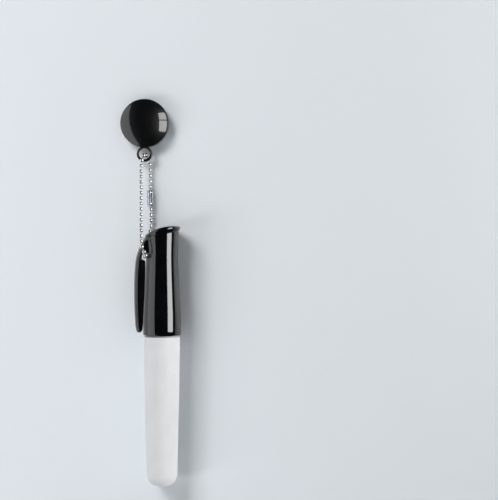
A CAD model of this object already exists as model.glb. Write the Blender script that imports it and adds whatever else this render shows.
"""Looks of the felt tip marker that hangs in a ball chain from a round board magnet.

Lengths below are millimetres in the frame's own axes: +Y into the board, +Z up, +X to the right.
"""

import math

import bpy
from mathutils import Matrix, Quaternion, Vector


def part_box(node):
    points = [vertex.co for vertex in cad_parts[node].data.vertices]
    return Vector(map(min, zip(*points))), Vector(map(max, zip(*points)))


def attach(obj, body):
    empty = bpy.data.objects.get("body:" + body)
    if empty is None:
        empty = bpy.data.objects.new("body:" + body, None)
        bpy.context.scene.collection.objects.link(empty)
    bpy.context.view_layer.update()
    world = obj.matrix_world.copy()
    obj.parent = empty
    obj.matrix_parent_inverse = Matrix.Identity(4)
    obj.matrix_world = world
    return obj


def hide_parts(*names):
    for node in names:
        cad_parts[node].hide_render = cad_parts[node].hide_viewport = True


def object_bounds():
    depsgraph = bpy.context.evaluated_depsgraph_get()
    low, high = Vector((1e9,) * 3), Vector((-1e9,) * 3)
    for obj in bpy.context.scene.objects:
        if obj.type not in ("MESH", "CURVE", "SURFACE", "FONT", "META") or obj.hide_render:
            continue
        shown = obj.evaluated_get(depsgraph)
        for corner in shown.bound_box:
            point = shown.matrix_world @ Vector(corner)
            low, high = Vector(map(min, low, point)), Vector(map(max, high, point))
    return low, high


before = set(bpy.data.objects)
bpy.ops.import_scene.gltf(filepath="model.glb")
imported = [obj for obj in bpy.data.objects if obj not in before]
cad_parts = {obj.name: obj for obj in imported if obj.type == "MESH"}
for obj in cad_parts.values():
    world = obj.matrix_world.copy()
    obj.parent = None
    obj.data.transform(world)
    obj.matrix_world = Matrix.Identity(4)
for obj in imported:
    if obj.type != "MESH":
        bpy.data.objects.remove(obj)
cad_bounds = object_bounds()

MM = 0.001
WHITE_AIR = (0.80, 0.82, 0.84, 1)


# ---------------------------------------------------------------- places, taken from the frame

def corners(node):
    low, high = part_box(node)
    return low / MM, high / MM


barrel_low, barrel_high = corners("barrel")
cover_low, cover_high = corners("magnet_cover")
AXIS = (barrel_low + barrel_high) / 2
BARREL_END = barrel_low.z
NECK_TOP = barrel_high.z
CAP_MOUTH = corners("cap_shell")[0].z
MAGNET_R = cover_high.x
DISC_R = corners("magnet_disc")[1].x
DISC_DEPTH = -corners("magnet_disc")[0].y
COVER_DEPTH = -cover_low.y
NIB_LOW, NIB_HIGH = (p.z for p in corners("nib"))
HOLDER_LOW, HOLDER_HIGH = (p.z for p in corners("nib_holder"))


# ---------------------------------------------------------------- mesh helpers

def piece(name, points, faces, body, slot, look, *nodes):
    """A smooth mesh piece, given in millimetres, that rides on a body and stands for CAD nodes."""
    mesh = bpy.data.meshes.new(name)
    mesh.from_pydata([tuple(c * MM for c in p) for p in points], [], faces)
    mesh.validate()
    mesh.shade_smooth()
    mesh.materials.append(look)
    made = bpy.data.objects.new(name, mesh)
    bpy.context.scene.collection.objects.link(made)
    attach(made, body)
    if nodes:
        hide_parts(*nodes)
    return made


def skin(rings, closed_along=False, capped=False):
    """Points and faces of a tube through rings of equal length; closed_along joins its ends."""
    count = len(rings[0])
    points = [p for ring in rings for p in ring]
    last = len(rings) if closed_along else len(rings) - 1
    faces = []
    for i in range(last):
        a, b = i * count, (i + 1) % len(rings) * count
        for k in range(count):
            n = (k + 1) % count
            faces.append((a + k, a + n, b + n, b + k))
    if capped:
        faces.append(tuple(reversed(range(count))))
        faces.append(tuple(range(len(points) - count, len(points))))
    return points, faces


def joined(parts):
    """One list of points and faces from several."""
    points, faces = [], []
    for some_points, some_faces in parts:
        start = len(points)
        points += some_points
        faces += [tuple(i + start for i in f) for f in some_faces]
    return points, faces


def smooth_line(stations, steps):
    """A smooth curve of tuples through the stations, with steps parts between neighbours."""
    line = []
    last = len(stations) - 1
    for i in range(last):
        a, b, c, d = (stations[min(max(j, 0), last)] for j in (i - 1, i, i + 1, i + 2))
        for k in range(steps):
            line.append(blended(a, b, c, d, k / steps))
    line.append(tuple(stations[-1]))
    return line


def blended(a, b, c, d, u):
    return tuple(
        0.5 * (2 * q + (r - p) * u + (2 * p - 5 * q + 4 * r - s) * u * u + (3 * q - p - 3 * r + s) * u ** 3)
        for p, q, r, s in zip(a, b, c, d))


def rounded(outline, radius, steps=5):
    """The outline with each of its inner corners rounded by up to that radius."""
    line = [outline[0]]
    for before, corner, after in zip(outline, outline[1:], outline[2:]):
        c = Vector(corner)
        to_a, to_b = Vector(before) - c, Vector(after) - c
        reach = min(radius, to_a.length * 0.45, to_b.length * 0.45)
        a, b = c + to_a.normalized() * reach, c + to_b.normalized() * reach
        for k in range(steps + 1):
            u = k / steps
            line.append(tuple(a.lerp(c, u).lerp(c.lerp(b, u), u)))
    line.append(outline[-1])
    return line


def turned(outline, place, segments=96):
    """A solid of revolution: outline points are (radius, height), and place puts them in space."""
    rings = []
    for radius, height in outline:
        angles = (2 * math.pi * k / segments for k in range(segments))
        rings.append([place(max(radius, 0.001) * math.cos(a), max(radius, 0.001) * math.sin(a), height)
                      for a in angles])
    return rings


def on_axis(x, y, z):
    return (AXIS.x + x, AXIS.y + y, z)


def out_of_board(x, y, depth):
    return (x, -depth, y)


# ---------------------------------------------------------------- materials

def new_look(name, **sockets):
    """A Principled material; sockets hold the values that are the same all over."""
    look = bpy.data.materials.new(name)
    look.use_nodes = True
    shader = look.node_tree.nodes["Principled BSDF"]
    for key, value in sockets.items():
        shader.inputs[key.replace("_", " ").capitalize() if key != "IOR" else key].default_value = value
    return look, look.node_tree, shader


def add(tree, kind, **settings):
    node = tree.nodes.new("ShaderNode" + kind)
    for key, value in settings.items():
        if key in node.inputs:
            node.inputs[key].default_value = value
        else:
            setattr(node, key, value)
    return node


def noise(tree, scale, detail=3.0, stretch=(1, 1, 1)):
    """A noise that is fixed to the piece; scale is in features per metre."""
    place = add(tree, "TexCoord")
    mapping = add(tree, "Mapping", Scale=stretch)
    made = add(tree, "TexNoise", Scale=scale, Detail=detail)
    tree.links.new(place.outputs["Object"], mapping.inputs["Vector"])
    tree.links.new(mapping.outputs["Vector"], made.inputs["Vector"])
    return made.outputs["Fac"]


def ramp(tree, source, low, high, start=0.3, end=0.7):
    """Turns a noise into a number or colour between low and high."""
    made = add(tree, "ValToRGB")
    stops = made.color_ramp.elements
    as_colour = [(*v, 1) if isinstance(v, tuple) else (v, v, v, 1) for v in (low, high)]
    stops[0].position, stops[0].color = start, as_colour[0]
    stops[1].position, stops[1].color = end, as_colour[1]
    tree.links.new(source, made.inputs["Fac"])
    return made.outputs["Color"]


def bump(tree, shader, source, height_mm, strength=1.0):
    made = add(tree, "Bump", Strength=strength, Distance=height_mm * MM)
    tree.links.new(source, made.inputs["Height"])
    tree.links.new(made.outputs["Normal"], shader.inputs["Normal"])


def black_gloss(name, base, rough, haze=0.0):
    """Glossy moulded black: faint haze from handling and a very slight unevenness."""
    look, tree, shader = new_look(name, IOR=1.5)
    if haze:
        shader.inputs["Coat Weight"].default_value = 0.8
        shader.inputs["Coat Roughness"].default_value = rough
        shader.inputs["Coat IOR"].default_value = 1.5
        shader.inputs["Specular IOR Level"].default_value = 0.16
        rough = haze
    colour = ramp(tree, noise(tree, 260, 4), base, tuple(c * 1.9 for c in base))
    tree.links.new(colour, shader.inputs["Base Color"])
    handled = ramp(tree, noise(tree, 420, 6, (1, 1, 0.35)), rough, rough + 0.05)
    tree.links.new(handled, shader.inputs["Roughness"])
    bump(tree, shader, noise(tree, 900, 2), 0.004, 0.5)
    return look


def white_satin():
    look, tree, shader = new_look("white_plastic", IOR=1.36)
    shader.inputs["Specular IOR Level"].default_value = 0.16
    shader.inputs["Subsurface Weight"].default_value = 0.12
    shader.inputs["Subsurface Radius"].default_value = (0.002, 0.002, 0.002)
    shader.inputs["Subsurface Scale"].default_value = 1.0
    colour = ramp(tree, noise(tree, 120, 5), (0.74, 0.745, 0.755), (0.78, 0.783, 0.79))
    tree.links.new(colour, shader.inputs["Base Color"])
    grain = ramp(tree, noise(tree, 500, 5, (1, 1, 0.3)), 0.3, 0.38)
    tree.links.new(grain, shader.inputs["Roughness"])
    bump(tree, shader, noise(tree, 5200, 3), 0.006, 0.35)
    return look


def bright_nickel(name, dark, light):
    look, tree, shader = new_look(name, Metallic=1.0)
    colour = ramp(tree, noise(tree, 900, 4), dark, light)
    tree.links.new(colour, shader.inputs["Base Color"])
    worn = ramp(tree, noise(tree, 1600, 5), 0.16, 0.30)
    tree.links.new(worn, shader.inputs["Roughness"])
    bump(tree, shader, noise(tree, 3500, 3), 0.006, 0.5)
    return look


def sintered_ferrite():
    look, tree, shader = new_look("ferrite", Metallic=0.0)
    colour = ramp(tree, noise(tree, 3800, 8), (0.035, 0.036, 0.04), (0.10, 0.10, 0.105))
    tree.links.new(colour, shader.inputs["Base Color"])
    worn = ramp(tree, noise(tree, 300, 5), 0.42, 0.62)
    tree.links.new(worn, shader.inputs["Roughness"])
    bump(tree, shader, noise(tree, 4200, 6), 0.03, 0.5)
    return look


def milky_plastic():
    look, tree, shader = new_look("milky_plastic", IOR=1.5)
    shader.inputs["Subsurface Weight"].default_value = 0.4
    shader.inputs["Subsurface Radius"].default_value = (0.002, 0.002, 0.002)
    shader.inputs["Subsurface Scale"].default_value = 1.0
    colour = ramp(tree, noise(tree, 300, 4), (0.70, 0.72, 0.73), (0.80, 0.815, 0.82))
    tree.links.new(colour, shader.inputs["Base Color"])
    tree.links.new(ramp(tree, noise(tree, 700, 4), 0.35, 0.5), shader.inputs["Roughness"])
    bump(tree, shader, noise(tree, 2500, 3), 0.01, 0.4)
    return look


def felt_look(name, dark, light, stretch):
    """Fibres that run along the marker, with the ink's uneven wetness."""
    look, tree, shader = new_look(name)
    shader.inputs["Sheen Weight"].default_value = 0.25
    shader.inputs["Sheen Roughness"].default_value = 0.6
    fibres = noise(tree, 6500, 5, stretch)
    tree.links.new(ramp(tree, fibres, dark, light), shader.inputs["Base Color"])
    tree.links.new(ramp(tree, noise(tree, 700, 3), 0.5, 0.85), shader.inputs["Roughness"])
    bump(tree, shader, fibres, 0.08, 0.8)
    return look


BLACK = black_gloss("cap_black", (0.0010, 0.0013, 0.0019), 0.045)
MAGNET_BLACK = black_gloss("magnet_black", (0.0010, 0.0012, 0.0016), 0.05, 0.36)
WHITE = white_satin()
NICKEL = bright_nickel("nickel", (0.40, 0.40, 0.41), (0.54, 0.54, 0.55))
SLEEVE_NICKEL = bright_nickel("sleeve_nickel", (0.17, 0.19, 0.22), (0.40, 0.42, 0.45))
FERRITE = sintered_ferrite()
MILKY = milky_plastic()
FELT = felt_look("nib_felt", (0.003, 0.003, 0.004), (0.02, 0.02, 0.024), (1, 1, 0.12))
FIBRE = felt_look("reservoir_fibre", (0.01, 0.01, 0.014), (0.07, 0.07, 0.08), (1, 1, 0.04))


# ---------------------------------------------------------------- magnet

EYE_CENTRE_DROP = 15.4
EYE_Y = -3.6
EYE_OUTER_R = 3.88
EYE_HOLE_R = 2.68
EYE_HALF_DEPTH = 1.05
EYE_HOLE_LIFT = 0.16


def magnet_dome():
    """The cover: a shallow dome on a straight rim, hollow behind for the magnet disc."""
    rim_depth = 4.8
    edge = 0.55
    dome_h = COVER_DEPTH - rim_depth
    dome_r = (MAGNET_R ** 2 + dome_h ** 2) / (2 * dome_h)
    pocket = DISC_R + 0.1
    floor = DISC_DEPTH + 0.1
    back = rounded([(0, floor), (pocket, floor), (pocket, 0), (MAGNET_R, 0),
                    (MAGNET_R, rim_depth - 0.3)], 0.35)
    reach = [MAGNET_R - edge * (1 - math.cos(a)) for a in (0.3, 0.6, 0.9, 1.2)]
    shoulder = [(r, rim_depth - 0.1 + 0.35 * k / 4) for k, r in enumerate(reach)]
    steps = 26
    first = math.asin((reach[-1] - 0.15) / dome_r)
    dome = [(dome_r * math.sin(first * (1 - k / steps)),
             COVER_DEPTH - dome_r * (1 - math.cos(first * (1 - k / steps)))) for k in range(steps + 1)]
    return skin(turned(back + shoulder + dome, out_of_board, 128))


def magnet_eye():
    """The eye ring, which grows thicker where it runs into the cover's rim."""
    around, across = 72, 20
    rings = []
    for i in range(around):
        a = 2 * math.pi * i / around
        root = max(0.0, math.sin(a)) ** 6
        inner = EYE_HOLE_R + EYE_HOLE_LIFT * math.sin(a)
        outer = EYE_OUTER_R + 0.5 * root
        mid, half = (inner + outer) / 2, (outer - inner) / 2
        deep = EYE_HALF_DEPTH + 0.35 * root
        ring = []
        for k in range(across):
            b = 2 * math.pi * k / across
            r = mid + half * superellipse(math.cos(b), 3.6)
            y = EYE_Y + deep * superellipse(math.sin(b), 3.6)
            ring.append((r * math.cos(a), y, -EYE_CENTRE_DROP + r * math.sin(a)))
        rings.append(ring)
    return skin(rings, closed_along=True)


def superellipse(c, power):
    """A cosine or sine pushed outwards, so that a round section becomes a rounded box."""
    return math.copysign(abs(c) ** (2 / power), c)


cover = piece("magnet_dome", *magnet_dome(), "magnet", "black_plastic", MAGNET_BLACK, "magnet_cover")
eye = piece("magnet_eye", *magnet_eye(), "magnet", "black_plastic", MAGNET_BLACK)
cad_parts["magnet_disc"].data.materials[0] = FERRITE


# ---------------------------------------------------------------- ball chain

ROUTE = [(0.3, -3.6, -15.8), (-0.5, -5.4, -16.4), (-1.2, -6.1, -18.8), (-1.5, -6.3, -22),
         (-1.4, -7.7, -28), (-1.25, -9.4, -34), (-1.1, -11.1, -40), (-0.95, -12.8, -46),
         (-0.8, -14.6, -52), (-0.55, -16.7, -58), (0, -17.9, -61.5), (1, -17.7, -63.9),
         (1.75, -16.1, -65.8), (0.3, -12.7, -66.3), (-1, -9.6, -65.7), (-1.8, -8.1, -63),
         (-1.3, -6.9, -60.4), (0.5, -4, -57.4), (2.3, -1.7, -54.2), (2.85, -1.4, -50),
         (2.85, -1.4, -45), (2.7, -1.4, -39), (2.6, -1.4, -33), (2.5, -1.3, -27),
         (2.35, -1.2, -21.5), (1.9, -1.2, -18.6), (1.1, -1.8, -16.3)]
ROUTE_STEPS = 8
BALLS = 42
GAP_BALL = 34
FIRST_S = 116.2
BALL_R = 1.05
BALL_WALL = 0.2
BALL_HOLE_R = 0.38
PIN_R = 0.17
HEAD_R = 0.41
SLACK_AT, TAUT_AT = 0.27, 0.4
SLEEVE_L = 8.3


def chain_line():
    """Points of the closed loop and the length along it at each point, ending where it began."""
    n = len(ROUTE)
    line = [Vector(blended(ROUTE[i - 1], ROUTE[i], ROUTE[(i + 1) % n], ROUTE[(i + 2) % n], k / ROUTE_STEPS))
            for i in range(n) for k in range(ROUTE_STEPS)]
    line.append(line[0])
    lengths = [0.0]
    for a, b in zip(line, line[1:]):
        lengths.append(lengths[-1] + (b - a).length)
    return line, lengths


LINE, LENGTHS = chain_line()


def ball_at(i):
    s = (FIRST_S + i * LENGTHS[-1] / BALLS) % LENGTHS[-1]
    j = max(k for k, length in enumerate(LENGTHS[:-1]) if length <= s)
    return LINE[j].lerp(LINE[j + 1], (s - LENGTHS[j]) / (LENGTHS[j + 1] - LENGTHS[j]))


def across_of(direction):
    """Two directions square to the given one."""
    side = direction.cross(Vector((0, 1, 0)))
    if side.length < 0.2:
        side = direction.cross(Vector((1, 0, 0)))
    side.normalize()
    return side, direction.cross(side)


def ball(i):
    """A hollow rolled ball with a straight hole at each pin and a fine seam from hole to hole."""
    around, rows = 28, 16
    centre = ball_at(i)
    back, ahead = (centre - ball_at(i - 1)).normalized(), (ball_at(i + 1) - centre).normalized()

    def shell_line(radius, parts):
        """From hole to hole over a sphere, as radius and angle."""
        first = math.asin(BALL_HOLE_R / radius)
        return [(radius, first + (math.pi - 2 * first) * k / parts) for k in range(parts + 1)]

    rings = []
    for radius, a in shell_line(BALL_R, rows) + shell_line(BALL_R - BALL_WALL, rows)[::-1]:
        along = ahead.slerp(back, a / math.pi)
        u, v = across_of(along)
        ring = []
        for k in range(around):
            b = 2 * math.pi * k / around
            seam = 0.035 if k == 0 and radius == BALL_R else 0.0
            ring.append(tuple(centre + (radius - seam) * (
                along * math.cos(a) + (u * math.cos(b) + v * math.sin(b)) * math.sin(a))))
        rings.append(ring)
    return skin(rings, closed_along=True)


def head_at(i):
    """How far from a ball's middle the pins' heads sit: the loop's tight turns are taut."""
    return TAUT_AT if i < 2 or i > 40 or 14 < i < 28 else SLACK_AT


def pin(i):
    """The pin from ball i to the next: a thin shank with a rounded head inside each ball."""
    a, b = ball_at(i), ball_at(i + 1)
    along = (b - a).normalized()
    u, v = across_of(along)
    head = [(0.02, -0.07), (HEAD_R * 0.8, -0.07), (HEAD_R, -0.03), (HEAD_R * 0.85, 0.01), (PIN_R, 0.05)]
    near = [(r, head_at(i) + s) for r, s in head]
    far = [(r, (b - a).length - head_at((i + 1) % BALLS) - s) for r, s in reversed(head)]
    around = [2 * math.pi * k / 14 for k in range(14)]
    rings = [[tuple(a + along * s + (u * math.cos(t) + v * math.sin(t)) * r) for t in around]
             for r, s in near + far]
    return skin(rings, capped=True)


def balls(first, last):
    return [ball(i) for i in range(first, last + 1)]


def pins(first, last):
    return [pin(i) for i in range(first, last + 1)]


def rung(i):
    """A front ball, its partner at the back, and the pin below each."""
    back = BALLS - i
    return balls(i, i) + pins(i, i) + balls(back, back) + pins(back - 1, back - 1)


def sleeve():
    """The rolled connector: an open sleeve with narrowed ends and a waist between its two balls."""
    outer_r, wall, end_r, taper = 1.55, 0.22, 0.75, 1.0
    low, high = ball_at(GAP_BALL - 1), ball_at(GAP_BALL + 1)
    centre, along = (low + high) / 2, (high - low).normalized()
    half = SLEEVE_L / 2
    side = Vector((1, 0, 0))
    side = (side - along * side.dot(along)).normalized()
    other = along.cross(side)
    waist = 1.4
    outside = [(end_r, -half), (outer_r - 0.28, 0.35 - half), (outer_r, taper - half), (outer_r, -waist),
               (outer_r - 0.1, 0), (outer_r, waist), (outer_r, half - taper), (outer_r - 0.28, half - 0.35),
               (end_r, half)]
    line = smooth_line(outside, 4)
    arc = 44
    open_half = 0.36
    slot_at = math.radians(-60)
    rings = []
    for inset in (0, wall):
        sheet = []
        for radius, h in line:
            r = max(radius - inset, 0.45)
            squeeze = h * (1 - inset / half)
            sheet.append([tuple(centre + along * squeeze + r * (side * math.cos(t) + other * math.sin(t)))
                          for t in (slot_at + open_half + (2 * math.pi - 2 * open_half) * k / arc
                                    for k in range(arc + 1))])
        rings.append(sheet)
    outer, inner = rings
    columns = [[row[k] for row in outer] + [row[k] for row in reversed(inner)] for k in range(arc + 1)]
    return skin(columns, capped=True)


def chain_piece(name, body, parts, *nodes, look=NICKEL):
    return piece(name, *joined(parts), body, "nickel", look, *nodes)


LINKS = (2, 3, 4, 5, 6, 10, 11, 12, 13)
chain_piece("chain_over_eye", "chain_top",
            balls(0, 1) + pins(0, 1) + balls(41, 41) + pins(40, 41), "chain_top")
for number in LINKS:
    label = f"{number:02d}"
    chain_piece("chain_rung_" + label, "link_" + label, rung(number), "chain_link_" + label)
chain_piece("chain_beside_sleeve", "chain_middle",
            balls(7, 9) + pins(7, 9) + balls(33, 33) + pins(32, 32) + balls(35, 35), "chain_middle")
chain_piece("chain_sleeve", "chain_middle", [sleeve()], "chain_connector", look=SLEEVE_NICKEL)
chain_piece("chain_through_clip", "chain_bottom", balls(14, 28) + pins(14, 27), "chain_bottom")


# ---------------------------------------------------------------- cap

def side_direction(turn):
    """A level direction, turned from the left side towards the front."""
    a = math.radians(turn)
    return Vector((-math.cos(a), -math.sin(a), 0))


TO_CLIP = side_direction(20)
ALONG_FRONT = Vector((-TO_CLIP.y, TO_CLIP.x, 0))
CAP_BORE_R = 7.95
CAP_STEP = -90.9
SEAL_BORE_R = 6.7
# The slanted joint under the crown, and the crown's steeper top
TO_LOW = side_direction(5)
ALONG_LOW = Vector((-TO_LOW.y, TO_LOW.x, 0))
TOP_TILT = math.radians(10)
TOP_Z = -55.3
CROWN_TILT = math.radians(11.4)
CROWN_RISE = 3.22
CROWN_BOW = 0.14
# Height and radius from the crown down to the mouth
CAP_OUTLINE = [(-55.3, 8.42), (-58.8, 8.3), (-62.7, 8.05), (-65.7, 7.9), (-68.7, 7.96), (-72.6, 8.12),
               (-77.6, 8.38), (-85.5, 8.8), (-91.4, 9.13), (-97.4, 9.36), (-103.3, 9.35)]


def slanted(x, y, z):
    """Leans the top of the cap down towards its low side; lower down it stays level."""
    foot = -64.5
    share = min(max((z - foot) / (TOP_Z - foot), 0), 1)
    share = share * share * (3 - 2 * share)
    return on_axis(x, y, z - share * math.tan(TOP_TILT) * (x * TO_LOW.x + y * TO_LOW.y))


def cap_tube():
    """The cap's shell: waisted outside, with a wide bore for the neck and a narrow one above it."""
    mouth_r = 9.2
    rim_r = 8.4
    outside = [(r, z) for z, r in smooth_line(CAP_OUTLINE, 5)]
    mouth = rounded([outside[-1], (mouth_r, CAP_MOUTH), (CAP_BORE_R, CAP_MOUTH), (CAP_BORE_R, CAP_STEP),
                     (SEAL_BORE_R, CAP_STEP), (SEAL_BORE_R, TOP_Z - 0.6)], 0.7)
    rim = rounded([(SEAL_BORE_R, TOP_Z - 0.5), (SEAL_BORE_R, TOP_Z - 0.05), (rim_r, TOP_Z - 0.05),
                   outside[1]], 0.3)
    outline = outside[1:] + mouth[1:-1] + rim[:-1]
    return skin(turned(outline, slanted, 128), closed_along=True)


def cap_crown():
    """The slanted end: well rounded and tight at its low side, with a thin lip at the high side."""
    around = 160
    base_r, arc_steps = 8.38, 9
    rows = []
    for k in range(around):
        a = 2 * math.pi * k / around
        low = math.cos(a)
        corner = 1.4 + 0.7 * low
        edge = 8.75 - 0.3 * low
        reach = edge - corner
        tilt, bow = low * math.tan(CROWN_TILT), low * low * CROWN_BOW
        top = TOP_Z + CROWN_RISE - edge * (tilt + bow)
        base = TOP_Z - base_r * low * math.tan(TOP_TILT)
        line = [(reach * f, TOP_Z + CROWN_RISE - edge * f * (tilt + bow * f))
                for f in (0.001, 0.3, 0.6, 0.85)]
        arc = [(reach + corner * math.cos(t), top - corner + corner * math.sin(t))
               for t in (math.pi / 2 * (1 - j / arc_steps) for j in range(arc_steps + 1))]
        start = base + 0.12
        line += [p for p in arc if p[1] > start + 0.05] or arc[:1]
        line += [line[-1]] * (4 + arc_steps + 1 - len(line))
        side_r, side_z = line[-1]
        for f in (0.25, 0.5, 0.75):
            line.append((side_r + (base_r - side_r) * f * f * (3 - 2 * f), side_z + (start - side_z) * f))
        line += [(base_r, start), (base_r - 0.15, base + 0.02),
                 (base_r * 0.5, base * 0.5 + TOP_Z * 0.5 + 0.02), (0.001, TOP_Z + 0.02)]
        direction = TO_LOW * low + ALONG_LOW * math.sin(a)
        rows.append([(AXIS.x + direction.x * r, AXIS.y + direction.y * r, z) for r, z in line])
    return skin([[row[j] for row in rows] for j in range(len(rows[0]))])


# Clip stations: outside and inside point as (distance from the axis, height), and half its width
CLIP_STATIONS = [
    ((6.9, -57.3), (6.9, -64.8), 3.15), ((7.9, -57.55), (7.9, -64.6), 3.1),
    ((8.8, -57.85), (8.8, -64.5), 3.05),
    ((9.55, -58.45), (9.5, -64.5), 3.0), ((10.1, -59.6), (9.85, -64.55), 3.0),
    ((10.6, -60.9), (10.1, -64.7), 3.0), ((11.3, -62.3), (10.35, -65.0), 3.0),
    ((11.95, -63.9), (10.6, -65.5), 3.0), ((12.5, -65.7), (10.75, -66.4), 3.0),
    ((12.93, -67.5), (10.65, -67.6), 3.0), ((13.1, -68.3), (9.35, -68.45), 3.0),
    ((13.3, -70.0), (9.12, -70.0), 3.0),
    ((13.68, -74.8), (9.12, -74.8), 3.0), ((13.82, -79.0), (9.23, -79.0), 2.98),
    ((13.86, -84.0), (9.41, -84.0), 2.95), ((13.81, -89.0), (9.66, -89.0), 2.87),
    ((13.65, -94.0), (9.91, -94.0), 2.75), ((13.37, -99.0), (10.21, -99.0), 2.6),
    ((13.05, -101.6), (10.45, -101.6), 2.4), ((12.7, -102.85), (10.8, -102.85), 2.0),
    ((12.25, -103.42), (11.25, -103.42), 1.2)]


def clip_section(half_w, half_t):
    """A flat bar's section, across and outwards, with a crowned outer face and soft edges."""
    soft = min(0.75, half_t * 0.7, half_w * 0.5)
    inner = min(0.12, half_t * 0.3)
    crown = min(0.45, half_t * 0.35)
    path = []
    for side in (1, -1):
        quarter = [(half_w, 0), (half_w, half_t - crown - soft - 0.06), (half_w, half_t - crown - soft)]
        for j in range(1, 6):
            t = math.pi / 2 * j / 5
            quarter.append((half_w - soft + soft * math.cos(t), half_t - crown - soft + soft * math.sin(t)))
        quarter += [(half_w * 0.6, half_t - crown * 0.4), (half_w * 0.3, half_t - crown * 0.1)]
        path += quarter if side == 1 else [(-a, d) for a, d in reversed(quarter)]
        if side == 1:
            path.append((0, half_t))
    under = [(half_w, -half_t + inner + 0.06), (half_w, -half_t + inner),
             (half_w - inner * 0.3, -half_t + inner * 0.3), (half_w - inner, -half_t),
             (half_w - inner - 0.06, -half_t)]
    path += [(-a, d) for a, d in under] + [(0, -half_t)] + list(reversed(under))
    return path


def clip():
    """The bowed side clip on its short bridge."""
    flat = [(*outer, *inner, width) for outer, inner, width in CLIP_STATIONS]
    rings = []
    for out_r, out_z, in_r, in_z, half_w in smooth_line(flat, 4):
        mid = Vector(((out_r + in_r) / 2, (out_z + in_z) / 2))
        half = Vector(((out_r - in_r) / 2, (out_z - in_z) / 2))
        ring = []
        for across, depth in clip_section(half_w, half.length):
            r, z = mid + half * (depth / half.length)
            point = TO_CLIP * r + ALONG_FRONT * across
            ring.append(on_axis(point.x, point.y, z))
        rings.append(ring)
    return skin(rings, capped=True)


piece("cap_tube", *cap_tube(), "cap", "black_plastic", BLACK, "cap_shell")
cap_clip = piece("cap_clip", *clip(), "cap", "black_plastic", BLACK)
cap_clip.visible_glossy = False
piece("cap_end", *cap_crown(), "cap", "black_plastic", BLACK, "cap_crown")
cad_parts["seal_cup"].data.materials[0] = MILKY


# ---------------------------------------------------------------- barrel and nib

BARREL_TOP = -105.7
BORE_R = 6.9
BORE_END = -172.0
END_CORNER_R = 5.5
SHOULDER_R = 8.86
END_R = 7.62
# Height and radius of the outside, from the shoulder down
BARREL_OUTLINE = [(-106.3, SHOULDER_R), (-118, 8.74), (-132, 8.56), (-151.8, 8.09), (-166.6, 7.72),
                  (-173.6, END_R)]


def barrel():
    """The white barrel: a tapered tube with a closed round end and a neck with two snap ridges."""
    outside = [(r, z) for z, r in smooth_line(BARREL_OUTLINE, 6)]
    corner_z, corner_x = BARREL_END + END_CORNER_R + 0.8, END_R - END_CORNER_R
    arc = [(corner_x + END_CORNER_R * math.cos(a), corner_z - END_CORNER_R * math.sin(a))
           for a in (math.radians(d) for d in range(6, 84, 6))]
    end = [(corner_x, BARREL_END + 0.75), (corner_x * 0.6, BARREL_END + 0.28), (0.7, BARREL_END + 0.06),
           (0.6, BARREL_END + 0.14), (0, BARREL_END + 0.14)]
    neck_r = CAP_BORE_R - 0.05
    neck = rounded([(0, BORE_END), (BORE_R, BORE_END), (BORE_R, NECK_TOP), (neck_r, NECK_TOP),
                    (neck_r, BARREL_TOP), (SHOULDER_R, BARREL_TOP), outside[0]], 0.35)
    return skin(turned(neck + outside[1:] + arc + end, on_axis, 128))


def neck_ridges():
    """Two low snap ridges round the neck, hidden inside the capped marker."""
    foot_r = 7.86
    shoulder_r = 7.9
    crest_r = 7.93
    parts = []
    for z in (-97.5, -101.5):
        outline = [(foot_r, z - 0.5), (shoulder_r, z - 0.35), (crest_r, z), (shoulder_r, z + 0.35),
                   (foot_r, z + 0.5)]
        parts.append(skin(turned(outline, on_axis, 96), closed_along=True))
    return joined(parts)


def nib_holder():
    """The white holder: a stepped nose with a shoulder, and a plug inside the barrel's mouth."""
    nose = HOLDER_HIGH
    bore_r = 2.52
    nose_r = 5.4
    flange_r = 7.6
    flange_top = NECK_TOP + 1.2
    plug_r = 6.88
    plug_bore_r = 5.7
    plug_floor = HOLDER_LOW + 5
    outline = [(bore_r, nose - 6), (bore_r, nose), (3.4, nose), (nose_r, nose - 4), (nose_r, NECK_TOP + 2.4),
               (6.6, flange_top), (flange_r, flange_top), (flange_r, NECK_TOP), (plug_r, NECK_TOP),
               (plug_r, HOLDER_LOW), (plug_bore_r, HOLDER_LOW), (plug_bore_r, plug_floor),
               (bore_r, plug_floor), (bore_r, nose - 6)]
    return skin(turned(rounded(outline, 0.3, 3), on_axis, 96))


def nib():
    """A bullet nib, slightly flattened and uneven at its tip from writing."""
    r = 2.5
    shaft = rounded([(0.001, NIB_LOW), (r, NIB_LOW), (r, NIB_HIGH - 4.2)], 0.3)
    tip = smooth_line([(r, NIB_HIGH - 3.6), (2.3, NIB_HIGH - 2.6), (1.85, NIB_HIGH - 1.5),
                       (1.25, NIB_HIGH - 0.6), (0.7, NIB_HIGH - 0.18), (0.001, NIB_HIGH - 0.04)], 4)
    return skin(turned(shaft + tip, on_axis, 64))


def fitting(name, made, look, slot, *nodes):
    return piece(name, *made, "barrel", slot, look, *nodes)


fitting("barrel_tube", barrel(), WHITE, "white_plastic", "barrel")
fitting("neck_ridges", neck_ridges(), WHITE, "white_plastic")
fitting("nose_piece", nib_holder(), WHITE, "white_plastic", "nib_holder")
fitting("felt_nib", nib(), FELT, "felt", "nib")
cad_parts["reservoir_core"].data.materials[0] = FIBRE
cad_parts["reservoir_film"].data.materials[0] = MILKY


# ---------------------------------------------------------------- stage, lights and camera

def plain_look(name, colour, rough):
    look, tree, shader = new_look(name)
    tint = ramp(tree, noise(tree, 3, 2), colour, tuple(c * 1.02 for c in colour))
    tree.links.new(tint, shader.inputs["Base Color"])
    shader.inputs["Roughness"].default_value = rough
    return look


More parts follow.
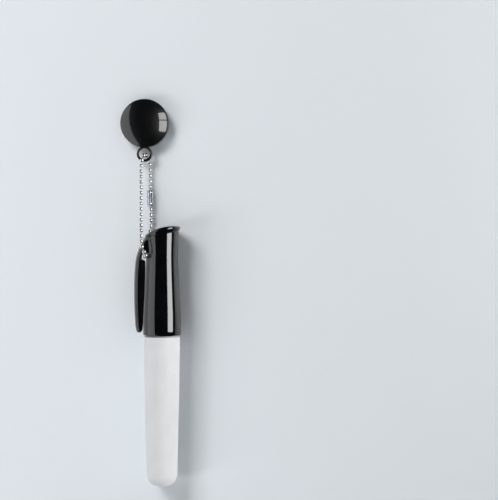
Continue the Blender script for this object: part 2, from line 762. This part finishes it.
def see_through_back(look):
    """Leaves the sheet open from behind, so that the object's back can be seen."""
    tree = look.node_tree
    shader, out = tree.nodes["Principled BSDF"], tree.nodes["Material Output"]
    mix = add(tree, "MixShader")
    tree.links.new(add(tree, "NewGeometry").outputs["Backfacing"], mix.inputs["Fac"])
    tree.links.new(shader.outputs["BSDF"], mix.inputs[1])
    tree.links.new(add(tree, "BsdfTransparent").outputs["BSDF"], mix.inputs[2])
    tree.links.new(mix.outputs["Shader"], out.inputs["Surface"])


def sheet(name, points, look):
    mesh = bpy.data.meshes.new(name)
    mesh.from_pydata(points, [], [tuple(range(len(points)))])
    mesh.materials.append(look)
    made = bpy.data.objects.new(name, mesh)
    bpy.context.scene.collection.objects.link(made)
    return made


def panel(name, place, aim, size, power, colour=(1, 1, 1), diffuse=True, glossy=True, roll=0.0):
    """A rectangular soft light at place, turned towards aim and rolled about that line; lengths in metres."""
    lamp = bpy.data.lights.new(name, "AREA")
    lamp.shape = "RECTANGLE"
    lamp.size, lamp.size_y = size
    lamp.energy = power
    lamp.color = colour
    made = bpy.data.objects.new(name, lamp)
    made.location = place
    turn = (Vector(aim) - Vector(place)).to_track_quat("-Z", "Y") @ Quaternion((0, 0, 1), math.radians(roll))
    made.rotation_euler = turn.to_euler()
    made.visible_diffuse, made.visible_glossy = diffuse, glossy
    bpy.context.scene.collection.objects.link(made)
    return made


# The board's sheet just behind the object and the floor below it, in metres
BOARD_GREY = (0.79, 0.835, 0.87)
BOARD_GAP = 0.0003
BOARD_LEFT, BOARD_RIGHT = -0.5, 0.8
BOARD_TOP = 0.5
FLOOR_GREY = (0.72, 0.73, 0.74)
FLOOR_Z = -0.6
FLOOR_HALF = 3

board_y = cad_bounds[1].y + BOARD_GAP
board_look = plain_look("board_pale", BOARD_GREY, 0.4)
see_through_back(board_look)
BOARD_CORNERS = [(BOARD_LEFT, board_y, FLOOR_Z), (BOARD_RIGHT, board_y, FLOOR_Z),
                 (BOARD_RIGHT, board_y, BOARD_TOP), (BOARD_LEFT, board_y, BOARD_TOP)]
board_sheet = sheet("board", BOARD_CORNERS, board_look)
FLOOR_CORNERS = [(-FLOOR_HALF, -FLOOR_HALF, FLOOR_Z), (FLOOR_HALF, -FLOOR_HALF, FLOOR_Z),
                 (FLOOR_HALF, FLOOR_HALF, FLOOR_Z), (-FLOOR_HALF, FLOOR_HALF, FLOOR_Z)]
ground_sheet = sheet("floor", FLOOR_CORNERS, plain_look("floor_pale", FLOOR_GREY, 0.6))
ground_sheet.visible_glossy = False

marker_mid = Vector((AXIS.x, AXIS.y, (CAP_MOUTH + BARREL_END) / 2)) * MM


def around_marker(azimuth, distance, height):
    """A place round the marker: azimuth 0 is in front, and positive is to the right."""
    a = math.radians(azimuth)
    return Vector((math.sin(a) * distance, -math.cos(a) * distance, height))


def level(place):
    """The point of the marker's axis at the same height, so that a panel stands upright."""
    return Vector((AXIS.x * MM, AXIS.y * MM, place.z))


def flag(lamp, state, targets):
    """EXCLUDE keeps a light off the targets, and INCLUDE keeps it off everything else."""
    flagged = bpy.data.collections.new(lamp.name + "_flag")
    for target in targets:
        flagged.objects.link(target)
    for row in flagged.collection_objects:
        row.light_linking.link_state = state
    lamp.light_linking.receiver_collection = flagged


# The broad dim wall on the left, seen only in reflections
LEFT_WALL = around_marker(-65.5, 0.62, -0.25)
panel("left_wall", LEFT_WALL, level(LEFT_WALL), (0.62, 1.9), 7.8, (0.98, 0.99, 1.0), diffuse=False, roll=13)

# Lowest and highest point of the right window's two panes
WINDOW_PANES = ((-0.175, 0.117), (0.147, 0.366))
WINDOW_DISTANCE = 0.6


def window_pane(name, azimuth, width, bottom, top, power):
    """A bright pane of the window, seen only in reflections; power is for a pane one metre high."""
    place = around_marker(azimuth, WINDOW_DISTANCE, (bottom + top) / 2)
    height = top - bottom
    return panel(f"{name}_{top}", place, level(place), (width, height), power * height, diffuse=False)


# The magnet has panes of its own, which stand further forward and are dimmer than the marker's
for pane_low, pane_high in WINDOW_PANES:
    marker_pane = window_pane("window", 56, 0.34, pane_low, pane_high, 13.0)
    flag(marker_pane, "EXCLUDE", (cover, eye))
    magnet_pane = window_pane("window_magnet", 51, 0.31, pane_low, pane_high, 9.5)
    flag(magnet_pane, "INCLUDE", (cover, eye))

STAGE = (board_sheet, ground_sheet)
SOFT_DISTANCE = 1.3
SOFT_SIZE = (0.7, 0.7)
# Azimuth, height and power of each soft panel. The side panel lights the barrel and not the shadow
# beside it, and the washes light only the board and floor
SOFT_PANELS = {"key_high": (-35, 0.9, 15.2), "key_low": (-55, -0.7, 3.4), "side_high": (35, 0.9, 2.2),
               "side": (70, 0.1, 11.0), "wash_high": (-35, 0.9, 4.0), "wash_low": (-55, -0.7, 12.5)}
STAGE_FLAGS = {"side": "EXCLUDE", "wash_high": "INCLUDE", "wash_low": "INCLUDE"}
for label, (azimuth, rise, power) in SOFT_PANELS.items():
    place = around_marker(azimuth, SOFT_DISTANCE, rise)
    soft_panel = panel(label, place, marker_mid, SOFT_SIZE, power, glossy=False)
    if label in STAGE_FLAGS:
        flag(soft_panel, STAGE_FLAGS[label], STAGE)


def floor_sun():
    """A soft sun that lights only the floor."""
    lamp = bpy.data.lights.new("floor_sun", "SUN")
    lamp.energy = 1.3
    lamp.angle = 0.6
    made = bpy.data.objects.new("floor_sun", lamp)
    made.location = (0, 0, 2)
    bpy.context.scene.collection.objects.link(made)
    flag(made, "INCLUDE", (ground_sheet,))


floor_sun()

# Strength of the air as fill light and in reflections, and where the camera sees past the stage
AIR_FILL = 0.03
AIR_SEEN = 0.9


def make_world():
    """Pale where the camera looks past the stage, and dim in reflections and as fill light."""
    world = bpy.data.worlds.new("air")
    bpy.context.scene.world = world
    world.use_nodes = True
    tree = world.node_tree
    ground = tree.nodes["Background"]
    ground.inputs["Color"].default_value = WHITE_AIR
    ground.inputs["Strength"].default_value = AIR_FILL
    seen = add(tree, "Background", Color=WHITE_AIR, Strength=AIR_SEEN)
    mix = add(tree, "MixShader")
    tree.links.new(add(tree, "LightPath").outputs["Is Camera Ray"], mix.inputs["Fac"])
    tree.links.new(ground.outputs["Background"], mix.inputs[1])
    tree.links.new(seen.outputs["Background"], mix.inputs[2])
    tree.links.new(mix.outputs["Shader"], tree.nodes["World Output"].inputs["Surface"])


make_world()
bpy.context.scene.view_settings.view_transform = "Standard"

# Straight at the board through a long lens, with the object in the left part of the frame. The frame's
# width is what the camera takes in at the marker's axis, in metres
LENS = 85
SENSOR = 36
FRAME_WIDTH = 0.2464
CAMERA_X, CAMERA_Z = 0.0520, -0.0631
camera_data = bpy.data.cameras.new("camera")
camera_data.lens = LENS
camera_data.sensor_width = SENSOR
camera = bpy.data.objects.new("camera", camera_data)
camera.location = (CAMERA_X, AXIS.y * MM - FRAME_WIDTH * LENS / SENSOR, CAMERA_Z)
camera.rotation_euler = (math.pi / 2, 0, 0)
bpy.context.scene.collection.objects.link(camera)
bpy.context.scene.camera = camera
